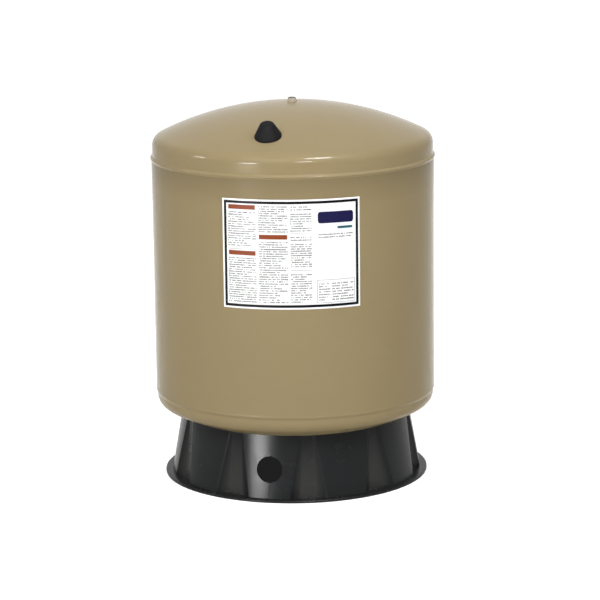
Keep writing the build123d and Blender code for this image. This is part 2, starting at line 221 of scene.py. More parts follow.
def lathe(name, profile, steps, closed=True, angle=35):
    work = bmesh.new()
    surface = work.loops.layers.uv.new("surface")
    rings, runs, run = [], [], 0.0
    for place, (radius, height) in enumerate(profile):
        if place:
            before = profile[place - 1]
            run += math.hypot(radius - before[0], height - before[1])
        runs.append(run)
        if radius < sameMeshPoint:
            rings.append([work.verts.new((0, 0, height))])
            continue
        turns = [2 * math.pi * step / steps for step in range(steps)]
        rings.append([
            work.verts.new((radius * math.cos(turn), radius * math.sin(turn), height))
            for turn in turns
        ])
    last = len(profile) if closed else len(profile) - 1
    for place in range(last):
        lower, upper = rings[place], rings[(place + 1) % len(rings)]
        after = runs[place + 1] if place + 1 < len(runs) else run + mm
        for step in range(steps):
            following = (step + 1) % steps
            corners = [
                (lower[step % len(lower)], step, runs[place]),
                (lower[following % len(lower)], step + 1, runs[place]),
                (upper[following % len(upper)], step + 1, after),
                (upper[step % len(upper)], step, after),
            ]
            if len(lower) == 1:
                corners.pop(1)
            elif len(upper) == 1:
                corners.pop(2)
            face = work.faces.new([corner[0] for corner in corners])
            around = 2 * math.pi * max(profile[place][0], profile[(place + 1) % len(profile)][0])
            for loop, corner in zip(face.loops, corners):
                loop[surface].uv = (corner[1] / steps * around, corner[2])
    mesh = bpy.data.meshes.new(name)
    work.to_mesh(mesh)
    work.free()
    return smoothed(mesh, angle)


def cadCopy(name, node):  # a merged copy of a CAD node, so that it can be smoothed
    mesh = frame["nodes"][node].data.copy()
    mesh.name = name
    while mesh.uv_layers:
        mesh.uv_layers.remove(mesh.uv_layers[0])
    return smoothed(mesh, merge=True)


# Materials

def linear(red, green, blue):  # a colour as a screen shows it, 0 to 255
    parts = [part / 255 for part in (red, green, blue)]
    parts = [part / 12.92 if part <= 0.04045 else ((part + 0.055) / 1.055) ** 2.4 for part in parts]
    return (*parts, 1.0)


def makeGrainGroup():
    tree = bpy.data.node_groups.new("surfaceGrain", "ShaderNodeTree")
    for label in ("Grain per metre", "Waves per metre"):
        tree.interface.new_socket(name=label, in_out="INPUT", socket_type="NodeSocketFloat")
    for label in ("Grain", "Waves", "Blotches"):
        tree.interface.new_socket(name=label, in_out="OUTPUT", socket_type="NodeSocketFloat")
    given, result = tree.nodes.new("NodeGroupInput"), tree.nodes.new("NodeGroupOutput")
    place = addNode(tree, "ShaderNodeTexCoord").outputs["Object"]
    grain = addNode(tree, "ShaderNodeTexNoise", {
        "Vector": place, "Scale": given.outputs[0], "Detail": 2.0, "Roughness": 0.45,
    })
    waves = addNode(tree, "ShaderNodeTexNoise", {
        "Vector": place, "Scale": given.outputs[1], "Detail": 1.0, "Roughness": 0.4,
    })
    blotches = addNode(tree, "ShaderNodeTexNoise", {
        "Vector": place, "Scale": 23.0, "Detail": 5.0, "Roughness": 0.6,
    })
    for number, node in enumerate((grain, waves, blotches)):
        tree.links.new(node.outputs[0], result.inputs[number])
    return tree


def makeDustGroup():
    tree = bpy.data.node_groups.new("settledDust", "ShaderNodeTree")
    tree.interface.new_socket(name="Amount", in_out="INPUT", socket_type="NodeSocketFloat")
    tree.interface.new_socket(name="Dust", in_out="OUTPUT", socket_type="NodeSocketFloat")
    given, result = tree.nodes.new("NodeGroupInput"), tree.nodes.new("NodeGroupOutput")
    place = addNode(tree, "ShaderNodeTexCoord").outputs["Object"]
    facing = addNode(tree, "ShaderNodeNewGeometry").outputs["Normal"]
    upward = Field(tree, addNode(tree, "ShaderNodeSeparateXYZ", {0: facing}).outputs["Z"])
    specks = Field(tree, addNode(tree, "ShaderNodeTexNoise", {
        "Vector": place, "Scale": 90.0, "Detail": 6.0, "Roughness": 0.7,
    }).outputs[0])
    lying = addNode(tree, "ShaderNodeMapRange", {
        "Value": upward * (specks + 0.4), "From Min": 0.35, "From Max": 1.0, "To Max": given.outputs[0],
    }).outputs[0]
    tree.links.new(lying, result.inputs[0])
    return tree


grainGroup = makeGrainGroup()
dustGroup = makeDustGroup()


def insideOf(material):  # its nodes and its shader's inputs
    tree = material.node_tree
    return tree, tree.nodes["Principled BSDF"].inputs


def newMaterial(name, values):
    material = bpy.data.materials.new(name)
    material.use_nodes = True
    shader = insideOf(material)[1]
    for label, value in values.items():
        shader[label].default_value = value
    return material


def tinted(tree, first, second, share):
    return addNode(tree, "ShaderNodeMix", {0: share, 6: first, 7: second}, data_type="RGBA").outputs[2]


def bumped(tree, height, distance, under=None):
    values = {"Height": height, "Distance": distance, "Strength": 1.0}
    if under is not None:
        values["Normal"] = under
    return addNode(tree, "ShaderNodeBump", values).outputs[0]


def finishMaterial(name, look, metallic=0.0):
    material = newMaterial(name, {"Metallic": metallic, "Specular IOR Level": look["specular"]})
    tree, shader = insideOf(material)
    grain = addNode(tree, "ShaderNodeGroup", node_tree=grainGroup)
    grain.inputs[0].default_value = look["grainPerMetre"]
    grain.inputs[1].default_value = look["wavesPerMetre"]
    dust = addNode(tree, "ShaderNodeGroup", node_tree=dustGroup)
    dust.inputs[0].default_value = look["dust"]
    fine, broad, blotches = (Field(tree, grain.outputs[number]) for number in range(3))
    colour = tinted(tree, linear(*look["colour"]), linear(*look["shade"]), blotches * look["mottle"])
    colour = tinted(tree, colour, linear(*look["dustColour"]), dust.outputs[0])
    feed(tree, shader["Base Color"], colour)
    roughness = blotches * look["glossDrift"] + (look["roughness"] - look["glossDrift"] / 2)
    roughness = roughness + Field(tree, dust.outputs[0]) * look["dustRoughness"]
    feed(tree, shader["Roughness"], roughness)
    normal = bumped(tree, broad, look["waveHeight"] * mm)
    feed(tree, shader["Normal"], bumped(tree, fine, look["grainHeight"] * mm, normal))
    return material


def tintOver(material, colour, mask):  # another colour over the material's own
    tree, shader = insideOf(material)
    own = shader["Base Color"].links[0].from_socket
    feed(tree, shader["Base Color"], tinted(tree, own, linear(*colour), mask))


def raiseOver(material, height, distance):  # more relief over the material's own
    tree, shader = insideOf(material)
    own = shader["Normal"].links[0].from_socket
    feed(tree, shader["Normal"], bumped(tree, height, distance, own))


plainLook = {  # colours as on a screen, heights in millimetres
    "colour": (128, 128, 128), "shade": (110, 110, 110), "mottle": 0.4, "dustColour": (150, 146, 136),
    "dust": 0.05, "dustRoughness": 0.3, "roughness": 0.4, "glossDrift": 0.1, "specular": 0.5,
    "grainPerMetre": 900.0, "grainHeight": 0.01, "wavesPerMetre": 12.0, "waveHeight": 0.02,
}
enamelLook = {
    **plainLook, "colour": (154, 138, 104), "shade": (145, 129, 94), "mottle": 0.5,
    "dustColour": (172, 162, 138), "dust": 0.08, "roughness": 0.17, "glossDrift": 0.05, "specular": 0.06,
    "grainPerMetre": 620.0, "grainHeight": 0.012, "wavesPerMetre": 9.0, "waveHeight": 0.5,
}
skirtLook = {
    **plainLook, "colour": (36, 37, 38), "shade": (31, 32, 33), "mottle": 0.7, "dust": 0.03,
    "dustColour": (70, 69, 66), "roughness": 0.26, "glossDrift": 0.1, "specular": 0.075,
    "grainPerMetre": 1500.0, "grainHeight": 0.012, "wavesPerMetre": 14.0, "waveHeight": 0.35,
}
coverLook = {
    **plainLook, "colour": (25, 24, 26), "shade": (20, 19, 21), "mottle": 0.6, "dust": 0.04,
    "dustColour": (80, 77, 75), "roughness": 0.62, "glossDrift": 0.1, "specular": 0.05,
    "grainPerMetre": 2600.0, "grainHeight": 0.02,
}
steelLook = {
    **plainLook, "colour": (150, 147, 142), "shade": (118, 112, 104), "mottle": 0.8,
    "roughness": 0.42, "glossDrift": 0.2, "grainPerMetre": 1800.0, "grainHeight": 0.008,
}
stainlessLook = {**steelLook, "colour": (186, 184, 180), "shade": (160, 157, 152), "roughness": 0.3}
brassLook = {
    **steelLook, "colour": (196, 160, 92), "shade": (150, 112, 58), "roughness": 0.28,
    "dustColour": (150, 132, 96),
}
whiteLook = {
    **plainLook, "colour": (224, 222, 214), "shade": (208, 204, 194), "mottle": 0.5,
    "roughness": 0.45, "dustColour": (190, 186, 174),
}
linerLook = {**whiteLook, "colour": (206, 205, 196), "shade": (190, 188, 178), "roughness": 0.5}
butylLook = {**coverLook, "colour": (36, 36, 37), "shade": (46, 45, 44), "roughness": 0.7, "dust": 0.05}
rubberLook = {**butylLook, "roughness": 0.55}
filmLook = {
    **plainLook, "colour": (253, 253, 253), "shade": (249, 249, 248), "mottle": 0.5,
    "dustColour": (222, 218, 208), "dust": 0.02, "roughness": 0.3, "glossDrift": 0.05, "specular": 0.2,
    "grainPerMetre": 500.0, "grainHeight": 0.004, "wavesPerMetre": 25.0, "waveHeight": 0.06,
}

enamel = finishMaterial("tankEnamel", enamelLook)
skirtPlastic = finishMaterial("skirtPlastic", skirtLook)
coverPlastic = finishMaterial("coverPlastic", coverLook)
bareSteel = finishMaterial("bareSteel", steelLook, metallic=1.0)
stainless = finishMaterial("stainless", stainlessLook, metallic=1.0)
brass = finishMaterial("brass", brassLook, metallic=1.0)
whitePlastic = finishMaterial("whitePlastic", whiteLook)
linerPlastic = finishMaterial("linerPlastic", linerLook)
butyl = finishMaterial("butylRubber", butylLook)
sealRubber = finishMaterial("sealRubber", rubberLook)
labelFilm = finishMaterial("labelFilm", filmLook)
print("materials ready")


# Vessel

shellLow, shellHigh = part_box("shell")
tank = {
    "shellRadius": shellHigh[0],
    "lowerSeam": shellLow[2],
    "upperSeam": shellHigh[2],
    "steel": 2.0 * mm,
    "crownRadius": 600.0 * mm,
    "knuckleRadius": 22.0 * mm,
    "upperStraight": 24.0 * mm,
    "lowerStraight": 11.0 * mm,
    "lap": 12.0 * mm,
    "beadWidth": 10.0 * mm,
    "beadReach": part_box("upper_weld_bead")[1][0] - 0.1 * mm,
    "lowerBeadShare": 0.4,
    "neckRadius": 15.0 * mm,
    "steps": 288,
    "bevelAngle": 12,  # degrees; a sharper bend between faces isn't smoothed
    "seamPaintedShade": (132, 118, 89),  # painted shade: the shell is coloured darker just below the upper seam, where the bead and head shade it
    "seamPaintedShadeReach": 60 * mm,
}
headRadius = tank["shellRadius"] - tank["steel"]
kneeCentre = headRadius - tank["knuckleRadius"]
kneeReach = tank["crownRadius"] - tank["knuckleRadius"]
crownDrop = math.sqrt(kneeReach ** 2 - kneeCentre ** 2)
kneeAngle = math.degrees(math.acos(kneeCentre / kneeReach))
lowerCrownCentre = tank["lowerSeam"] - tank["lowerStraight"] + crownDrop


def dishLine(inset, rim, startRadius=0.0):
    # half section of a dished head from its middle to its rim, the knuckle's foot at height 0
    crown = tank["crownRadius"] - inset
    first = math.degrees(math.acos(startRadius / crown))
    crownSteps, kneeSteps = 44, 18
    points = []
    for step in range(crownSteps + 1):
        turn = math.radians(first + (kneeAngle - first) * step / crownSteps)
        points.append((max(crown * math.cos(turn), startRadius), crown * math.sin(turn) - crownDrop))
    for step in range(1, kneeSteps + 1):
        turn = math.radians(kneeAngle * (1 - step / kneeSteps))
        knee = tank["knuckleRadius"] - inset
        points.append((kneeCentre + knee * math.cos(turn), knee * math.sin(turn)))
    points.append((headRadius - inset, rim))
    return points


def makeHead(name, side, rimHeight, straight, startRadius):
    rim = -(straight + tank["lap"])
    outer = dishLine(0.0, rim, startRadius)
    inner = dishLine(tank["steel"], rim, startRadius)
    loop = outer + inner[::-1]
    return lathe(name, [(r, rimHeight + side * z) for r, z in loop], tank["steps"], closed=startRadius > 0)


def beadLine(side, height):  # from the shell's surface over the crest to the head's
    half, middle = tank["beadWidth"] / 2, tank["shellRadius"] - tank["steel"] / 2
    crest = (tank["beadReach"] - middle) * (1 if side > 0 else tank["lowerBeadShare"])
    points, steps = [(headRadius, height)], 24
    for step in range(steps + 1):
        share = step / steps
        ease = share * share * (3 - 2 * share)
        swell = crest * math.sin(math.pi * share) ** 2
        radius = tank["shellRadius"] - tank["steel"] * ease + swell
        points.append((radius, height + side * half * (2 * share - 1)))
    return points


def makeShellEnamelWithPaintedShade():
    material = finishMaterial("shellEnamelPaintedShade", enamelLook)
    z = objectParts(material.node_tree)[2]
    # painted shade: darker towards the upper seam, fading out over the reach below it
    tintOver(material, tank["seamPaintedShade"], (1 - (tank["upperSeam"] - z) / tank["seamPaintedShadeReach"]).held())
    return material


upperHead = makeHead(
    "upperHead", 1, tank["upperSeam"] + tank["upperStraight"], tank["upperStraight"], 0.0
)
lowerHead = makeHead(
    "lowerHead", -1, tank["lowerSeam"] - tank["lowerStraight"], tank["lowerStraight"], tank["neckRadius"]
)
bevel = tank["beadWidth"] / 2
shellLine = [
    (headRadius, tank["lowerSeam"]), (tank["shellRadius"], tank["lowerSeam"] + bevel),
    (tank["shellRadius"], tank["upperSeam"] - bevel), (headRadius, tank["upperSeam"]),
]
rolledShell = lathe("rolledShell", shellLine, tank["steps"], angle=tank["bevelAngle"])
addPiece("upperHead", upperHead, enamel, ["upper_head"])
addPiece("lowerHead", lowerHead, enamel, ["lower_head"])
addPiece("rolledShell", rolledShell, makeShellEnamelWithPaintedShade(), ["shell"])
print("vessel made")


# Round welds: the same enamel over the ripples of the weld

weldRipple = {
    "pitch": 3.4 * mm, "height": 0.03 * mm, "crest": 10.5 * mm, "bow": 60.0, "drift": 3.0 * mm,
    "drift scale": 60.0,
}


def makeWeldEnamel(rule):
    material = finishMaterial("weldEnamel", enamelLook)
    tree = material.node_tree
    around, across, _ = split(tree, addNode(tree, "ShaderNodeUVMap", uv_map="surface").outputs[0])
    drift = Field(tree, addNode(tree, "ShaderNodeTexNoise", {
        "Vector": addNode(tree, "ShaderNodeTexCoord").outputs["Object"], "Scale": rule["drift scale"],
    }).outputs[0])
    middle = across - rule["crest"]
    wave = around + middle * middle * rule["bow"] + drift * rule["drift"]
    ripple = (wave * (2 * math.pi / rule["pitch"])).op("SINE")
    raiseOver(material, ripple * (drift + 0.3), rule["height"])
    return material


weldEnamel = makeWeldEnamel(weldRipple)
for name, node, side, height in (
    ("upperRoundWeld", "upper_weld_bead", 1, tank["upperSeam"]),
    ("lowerRoundWeld", "lower_weld_bead", -1, tank["lowerSeam"]),
):
    addPiece(name, lathe(name, beadLine(side, height), tank["steps"]), weldEnamel, [node])
print("welds made")


# Skirt: one ruled tree makes the lobes, flutes, ledge and foot flange

skirt = {
    "lobe top face": 228.5 * mm, "flare": 22.0 * mm, "wall": 4.0 * mm,
    "top depth": 3.0 * mm, "foot depth": 17.0 * mm, "top floor": 19.0 * mm,
    "foot floor": 31.0 * mm, "spread": 1.6, "corner round": 4.0 * mm, "ledge width": 16.0 * mm,
    "flange radius": 264.0 * mm, "flange height": 4.5 * mm, "flange round": 1.5 * mm,
    "head centre": lowerCrownCentre, "head radius": tank["crownRadius"],
    "pipe hole": 25.4 * mm, "pipe height": 60.0 * mm,
}
skirtMarks = {  # the mould's fine line below the pipe hole, with a painted highlight on it, and painted light deeper in each flute
    "line half width": 2.0 * mm, "line foot": 6.0 * mm, "line top": 35.0 * mm,
    "line height": 0.5 * mm, "line highlight colour": (84, 84, 80),
    "flute light depth": 16.0 * mm, "flute light start": 0.2, "flute light share": 0.3, "flute light colour": (110, 109, 105),
}
skirt["seat height"] = skirt["head centre"] - math.sqrt(
    skirt["head radius"] ** 2 - skirt["lobe top face"] ** 2
)
lobeCount = 10
stepsPerCorner = 4   # mesh steps in each of the five runs from a flute's middle to a lobe's
stepsPerRun = 4      # mesh steps in each of the eight runs round the wall's section


def lobePoint(tree, rule, station, height, inset):
    # (out, sideways) of a point on the lobed wall, in the frame of the flute it belongs to
    share = height / rule["seat height"]
    face = rule["lobe top face"] + rule["flare"] * (1 - share)
    lean = ((rule["flare"] / rule["seat height"]).op("POWER", 2) + 1).op("SQRT")
    radius = face - inset * lean
    squared = rule["spread"] * rule["spread"] + 1
    longSide = squared.op("SQRT")
    halfFloor = mixed(rule["foot floor"], rule["top floor"], share) * 0.5
    halfFloor = halfFloor + inset * (longSide - rule["spread"])
    floor = face - mixed(rule["foot depth"], rule["top depth"], share) - inset
    middle = floor + rule["spread"] * halfFloor
    rest = floor * floor + halfFloor * halfFloor - radius * radius
    out = ((middle * middle - squared * rest).op("SQRT") - middle) / squared
    turn = rule["spread"].op("POWER", -1).op("ARCTANGENT")
    cut = rule["corner round"] * (turn * 0.5).op("TANGENT")
    cutOut, cutSide = cut / longSide, cut * rule["spread"] / longSide
    edgeOut, edgeSide = floor + out, halfFloor + rule["spread"] * out
    edgeTurn = edgeSide.op("ARCTAN2", edgeOut)
    arcStart = edgeTurn + cut / radius
    arcOut, arcSide = radius * arcStart.op("COSINE"), radius * arcStart.op("SINE")
    run = (station / stepsPerCorner).op("FLOOR").op("MINIMUM", 4)
    along = station / stepsPerCorner - run
    left, right = (1 - along) * (1 - along), along * along
    arcTurn = mixed(arcStart, math.pi / lobeCount, along)
    outward = chosen(tree, run, [
        floor, floor + right * cutOut, mixed(floor + cutOut, edgeOut - cutOut, along),
        edgeOut - left * cutOut + right * (arcOut - edgeOut), radius * arcTurn.op("COSINE"),
    ])
    sideways = chosen(tree, run, [
        (halfFloor - cut) * along, halfFloor - left * cut + right * cutSide,
        mixed(halfFloor + cutSide, edgeSide - cutSide, along),
        edgeSide - left * cutSide + right * (arcSide - edgeSide), radius * arcTurn.op("SINE"),
    ])
    return outward, sideways


def reach(point):
    return (point[0] * point[0] + point[1] * point[1]).op("SQRT")


def headHeight(rule, radius, inset):
    ball = rule["head radius"] + inset
    return rule["head centre"] - (ball * ball - radius * radius).op("SQRT")


def makeSkirtTree():
    tree, rule = newTree("flutedSkirt", skirt)
    lobeColumns = 10 * stepsPerCorner
    columns, rows = lobeCount * lobeColumns, 8 * stepsPerRun
    grid = addNode(tree, "GeometryNodeMeshGrid", {
        "Size X": float(columns), "Size Y": float(rows), "Vertices X": columns + 1,
        "Vertices Y": rows + 1,
    }).outputs[0]
    x, y, _ = positionParts(tree)
    column, row = (x + columns / 2).op("ROUND"), (y + rows / 2).op("ROUND")
    lobe = (column / lobeColumns + 0.001).op("FLOOR")
    fromMiddle = column - lobe * lobeColumns - lobeColumns / 2
    station, side = fromMiddle.op("ABSOLUTE"), fromMiddle.op("SIGN")
    run = (row / stepsPerRun).op("FLOOR").op("MINIMUM", 7)
    along = row / stepsPerRun - run

    def meeting(inset):  # where the wall meets the head's form, found in two steps
        height = rule["seat height"]
        for _ in range(2):
            height = headHeight(rule, reach(lobePoint(tree, rule, station, height, inset)), inset)
        return height

    none = rule["wall"] * 0  # the outer face's inset
    top, under = meeting(none), meeting(rule["wall"])
    flange = rule["flange height"]
    ledge = rule["lobe top face"] - rule["ledge width"]
    baseHeight = chosen(tree, run, [
        mixed(flange, top, along), top, none, under, under * (1 - along), none, none, flange,
    ])
    inset = rule["wall"] * chosen(tree, run, [0.0, 0.0, 1.0, 1.0, 1.0, 1.0, 0.0, 0.0])
    outward, sideways = lobePoint(tree, rule, station, baseHeight, inset)
    wallReach = reach((outward, sideways))
    straight = 0.25  # the share of the rim's run that goes up before it bends inwards
    bend = ((along - straight) / (1 - straight)).op("MAXIMUM", 0.0) * (math.pi / 2)
    rimRadius = rule["flange radius"] - rule["flange round"] * (1 - bend.op("COSINE"))
    rimHeight = (flange - rule["flange round"]) * (along / straight).op("MINIMUM", 1.0)
    rimHeight = rimHeight + rule["flange round"] * bend.op("SINE")
    flangeInner = rule["flange radius"] - rule["flange round"]
    target = chosen(tree, run, [
        ledge, ledge, ledge, ledge, ledge, rule["flange radius"], rimRadius, flangeInner,
    ])
    pull = chosen(tree, run, [0.0, along, 1.0, 1 - along, 0.0, along, 1.0, 1 - along])
    radius = mixed(wallReach, target, pull)
    height = chosen(tree, run, [
        baseHeight, headHeight(rule, radius, none),
        mixed(headHeight(rule, ledge, none), headHeight(rule, ledge, rule["wall"]), along),
        headHeight(rule, radius, rule["wall"]), baseHeight, none, rimHeight, flange,
    ])
    scale = radius / wallReach
    turn = (lobe + 0.5) * (2 * math.pi / lobeCount) - math.pi / 2
    outward, sideways = outward * scale, sideways * scale * side
    cosine, sine = turn.op("COSINE"), turn.op("SINE")
    wall = moved(tree, grid, outward * cosine - sideways * sine, outward * sine + sideways * cosine, height)
    wall = addNode(tree, "GeometryNodeFlipFaces", {0: merged(tree, wall, 0.01 * mm)}).outputs[0]
    drill = addNode(tree, "GeometryNodeMeshCylinder", {
        "Vertices": 96, "Radius": rule["pipe hole"], "Depth": rule["flange radius"],
    }).outputs[0]
    drillShare = 0.75  # the drill's middle, as a share of the way to the flange's rim
    middle = addNode(tree, "ShaderNodeCombineXYZ", {
        0: 0.0, 1: rule["flange radius"] * -drillShare, 2: rule["pipe height"],
    }).outputs[0]
    drill = addNode(tree, "GeometryNodeTransform", {
        "Geometry": drill, "Translation": middle, "Rotation": (math.pi / 2, 0, 0),
    }).outputs[0]
    cut = addNode(tree, "GeometryNodeMeshBoolean", operation="DIFFERENCE", solver="EXACT")
    feed(tree, cut.inputs[0], wall)
    feed(tree, cut.inputs[1], drill)
    closeTree(tree, coated(tree, cut.outputs[0], skirtPlastic))
    return tree


def addPartingLineAndHighlight(material, rule):
    x, y, z = objectParts(material.node_tree)
    ridge = (1 - x.op("ABSOLUTE") / rule["line half width"]).op("MAXIMUM", 0.0)
    ridge = ridge * y.op("LESS_THAN", 0.0) * z.op("LESS_THAN", rule["line top"])
    ridge = ridge * z.op("GREATER_THAN", rule["line foot"])
    raiseOver(material, ridge, rule["line height"])
    # painted highlight: the line is tinted paler along its ridge
    tintOver(material, rule["line highlight colour"], ridge)


def addFlutePaintedLight(material, rule):
    x, y, z = objectParts(material.node_tree)
    face = skirt["lobe top face"] + skirt["flare"] * (1 - z / skirt["seat height"])
    recess = (face - reach((x, y))) / rule["flute light depth"] - rule["flute light start"]
    # painted light: the flutes are tinted paler the deeper they go, standing in for light on their faces
    tintOver(material, rule["flute light colour"], recess.held() * rule["flute light share"])


addPartingLineAndHighlight(skirtPlastic, skirtMarks)
addFlutePaintedLight(skirtPlastic, skirtMarks)
skirtMesh = smoothed(grow("flutedSkirt", makeSkirtTree(), skirt), merge=True)
addPiece("flutedSkirt", skirtMesh, skirtPlastic, ["base_skirt"])
print("skirt made:", len(skirtMesh.polygons), "faces")


# Threads: one tree winds a ridge up a stem or down a bore, with its ends run out

threads = {
    "stemThread": {
        "mount": "air_valve", "radius": 3.85 * mm, "ridge": 0.26 * mm, "pitch": 0.79 * mm,
        "start": 0.6 * mm, "length": 8.6 * mm, "material": brass, "slot": "brass",
    },
    "portThread": {
        "mount": "system_port", "radius": 15.1 * mm, "ridge": -0.9 * mm, "pitch": 2.2 * mm,
        "start": 0.8 * mm, "length": 17.0 * mm, "material": stainless, "slot": "stainless",
    },
    "nutThread": {
        "mount": "hanging_nut_thread", "radius": 4.25 * mm, "ridge": -0.55 * mm, "pitch": 1.5 * mm,
        "start": 0.4 * mm, "length": 6.2 * mm, "material": bareSteel, "slot": "bare_steel",
    },
}


def makeThreadTree(sizes):
    tree, rule = newTree("threadRidge", sizes)
    stepsPerTurn, corners = 36, 5
    turns = rule["length"] / rule["pitch"]
    columns = (turns * stepsPerTurn).op("ROUND") + 1
    grid = addNode(tree, "GeometryNodeMeshGrid", {"Vertices X": columns, "Vertices Y": corners}).outputs[0]
    _, column, corner = pointNumber(tree, corners)
    wound = column / (columns - 1) * turns
    fade = (wound * 2).op("MINIMUM", (turns - wound) * 2).op("MINIMUM", 1.0)  # over half a turn
    root, foot, crest = 0.2, 0.48, 0.1  # a share of the ridge, and two of the pitch
    proud = chosen(tree, corner, [-root, 1.0, 1.0, -root, -root])
    wide = chosen(tree, corner, [-foot, -crest, crest, foot, -foot])
    radius = rule["radius"] + rule["ridge"] * ((proud + root) * fade - root)
    height = (wound + wide * fade) * rule["pitch"] - rule["start"] - rule["length"]
    turn = wound * (2 * math.pi)
    ridge = moved(tree, grid, radius * turn.op("COSINE"), radius * turn.op("SINE"), height)
    closeTree(tree, coated(tree, merged(tree, ridge, 0.005 * mm), stainless))
    return tree


def mountPlace(name):  # the mouth of a mount, with Z along its axis
    mount = next(entry for entry in frame["record"]["mounts"] if entry["name"] == name)
    spin = Vector(mount["axis"]).to_track_quat("Z", "Y").to_matrix().to_4x4()
    return Matrix.Translation(mount["pos_m"]) @ spin


threadTree = makeThreadTree(("radius", "ridge", "pitch", "start", "length"))
for name, thread in threads.items():
    mesh = grow(name, threadTree, thread)
    mesh.transform(mountPlace(thread["mount"]))
    addPiece(name, smoothed(mesh), thread["material"])
print("threads made")


# The shell's long weld, rippled as it was laid

seamWeld = {
    "shell radius": tank["shellRadius"], "width": 7.0 * mm, "proud": 0.78 * mm,
    "foot": tank["lowerSeam"] + 3 * mm, "top": tank["upperSeam"] - 3 * mm,
    "ripple pitch": 3.6 * mm, "ripple height": 0.14 * mm, "ripple bow": 1.4, "sunk": 0.4 * mm,
    "run out": 2.5 * mm,
}


def makeSeamTree(sizes):
    tree, rule = newTree("seamWeld", sizes)
    stepsPerRipple, across = 6, 12
    length = rule["top"] - rule["foot"]
    columns = (length / rule["ripple pitch"] * stepsPerRipple).op("ROUND") + 1
    grid = addNode(tree, "GeometryNodeMeshGrid", {"Vertices X": columns, "Vertices Y": across}).outputs[0]
    _, column, row = pointNumber(tree, across)
    along = column / (columns - 1) * length
    fade = (along.op("MINIMUM", length - along) / rule["run out"]).op("MINIMUM", 1.0)
    top = row / 8 - 0.5  # nine points over the crown, two back under it, and the first again
    side = chosen(tree, row, [*[top] * 9, 0.5, -0.5, -0.5])
    swell = 1 - 4 * (side * side)
    wander = Field(tree, addNode(tree, "ShaderNodeTexNoise", {"Scale": 70.0, "Detail": 1.0}).outputs[0])
    wave = along / rule["ripple pitch"] + side * side * rule["ripple bow"] + wander
    ripple = (wave * (2 * math.pi)).op("SINE")
    crown = swell * (rule["proud"] + rule["ripple height"] * (ripple - 1) * 0.5)
    lift = chosen(tree, row, [*[crown] * 9, rule["sunk"] * -1, rule["sunk"] * -1, 0.0])
    radius = rule["shell radius"] + lift * fade
    turn = side * fade * rule["width"] / rule["shell radius"]
    weld = moved(tree, grid, radius * turn.op("SINE"), radius * turn.op("COSINE"), rule["foot"] + along)
    closeTree(tree, coated(tree, merged(tree, weld, 0.01 * mm), enamel))
    return tree


seamMesh = smoothed(grow("seamWeld", makeSeamTree(seamWeld), seamWeld), angle=60)
addPiece("seamWeld", seamMesh, enamel, ["shell_seam_weld"])
print("long weld made:", len(seamMesh.polygons), "faces")


# Small pieces that keep the CAD form, merged and smoothed

nutLook = {**enamelLook, "colour": (184, 174, 156), "shade": (160, 150, 130), "roughness": 0.34}
nutTopTint = {"colour": (96, 90, 80), "darkBand": 1.4 * mm, "fade": 0.5 * mm}
valveSpring = {"length": 6.8 * mm, "press": 1.2 * mm, "footBelowStem": 9.0 * mm}  # sizes of the spring as the pin presses it; here the spring keeps the CAD node's form


def makeNutPaint(top, topTint):  # thin paint, tinted darker over the nut's upper rim
    material = finishMaterial("nutPaint", nutLook)
    z = objectParts(material.node_tree)[2]
    tintOver(material, topTint["colour"], ((z - (top - topTint["darkBand"])) / topTint["fade"]).held())
    return material


cover, nut = cadCopy("valveCover", "valve_cover"), cadCopy("hangingNut", "hanging_nut")
nutPaint = makeNutPaint(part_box("hanging_nut")[1][2], nutTopTint)
addPiece("valveCover", cover, coverPlastic, ["valve_cover"], "cover")
addPiece("hangingNut", nut, nutPaint, ["hanging_nut"])

stemPlace = mountPlace("air_valve")
coil = cadCopy("valveSpring", "valve_spring")
spring = addPiece("valveSpring", coil, stainless, ["valve_spring"])
stemPlace @ Vector((0, 0, -valveSpring["footBelowStem"]))
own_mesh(spring)

nodeFinishes = {
    "system_elbow": stainless, "elbow_weld": bareSteel,
    "liner_seal": sealRubber, "clamp_nut": stainless, "port_guard": whitePlastic,
    "liner": linerPlastic, "diaphragm": butyl, "clench_ring": bareSteel, "valve_boss": enamel,
    "valve_body": brass, "valve_o_ring": sealRubber, "valve_packing": whitePlastic,
    "valve_core": brass, "valve_pin": brass, "valve_cup": sealRubber,
}
for node, material in nodeFinishes.items():
    mesh = frame["nodes"][node].data
    if not mesh.materials:
        mesh.materials.append(material)
    for slot in frame["nodes"][node].material_slots:
        slot.link, slot.material = "OBJECT", material
print("small pieces finished")


# Label: a film wrapped on the shell, with generic fields of print on it

labelLow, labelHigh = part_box("label")
label = {
    "width": 269.5 * mm, "height": labelHigh[2] - labelLow[2],
    "middle": (labelHigh[2] + labelLow[2]) / 2, "turn": math.radians(11.6),
    "film": 0.25 * mm, "ink": 0.08 * mm, "border inset": 6.0 * mm, "border line": 5.0 * mm,
    "letter pitch": 1.9 * mm, "letter width": 1.45 * mm, "letter height": 2.1 * mm, "letter gaps": 0.16,
    "line ends": (0.5, 1.8), "letter heights": (0.6, 1.2), "bar step": 1.2 * mm,
}
inkLook = {**filmLook, "mottle": 0.3, "dust": 0.0, "roughness": 0.38, "specular": 0.08}


def makeInk(name, colour, shade):
    return finishMaterial(name, {**inkLook, "colour": colour, "shade": shade})


inkBlack = makeInk("inkBlack", (8, 8, 12), (13, 13, 17))
inkGrey = makeInk("inkGrey", (44, 44, 48), (58, 58, 62))
inkBlue = makeInk("inkBlue", (22, 20, 66), (28, 26, 74))
inkTeal = makeInk("inkTeal", (34, 92, 104), (40, 98, 110))
inkOchre = makeInk("inkOchre", (144, 66, 26), (134, 60, 23))


def wrapped(sideways, up, out):  # from the flat label to its place on the shell
    turn = label["turn"] + sideways / tank["shellRadius"]
    radius = tank["shellRadius"] + out
    return (radius * math.sin(turn), -radius * math.cos(turn), label["middle"] + up)


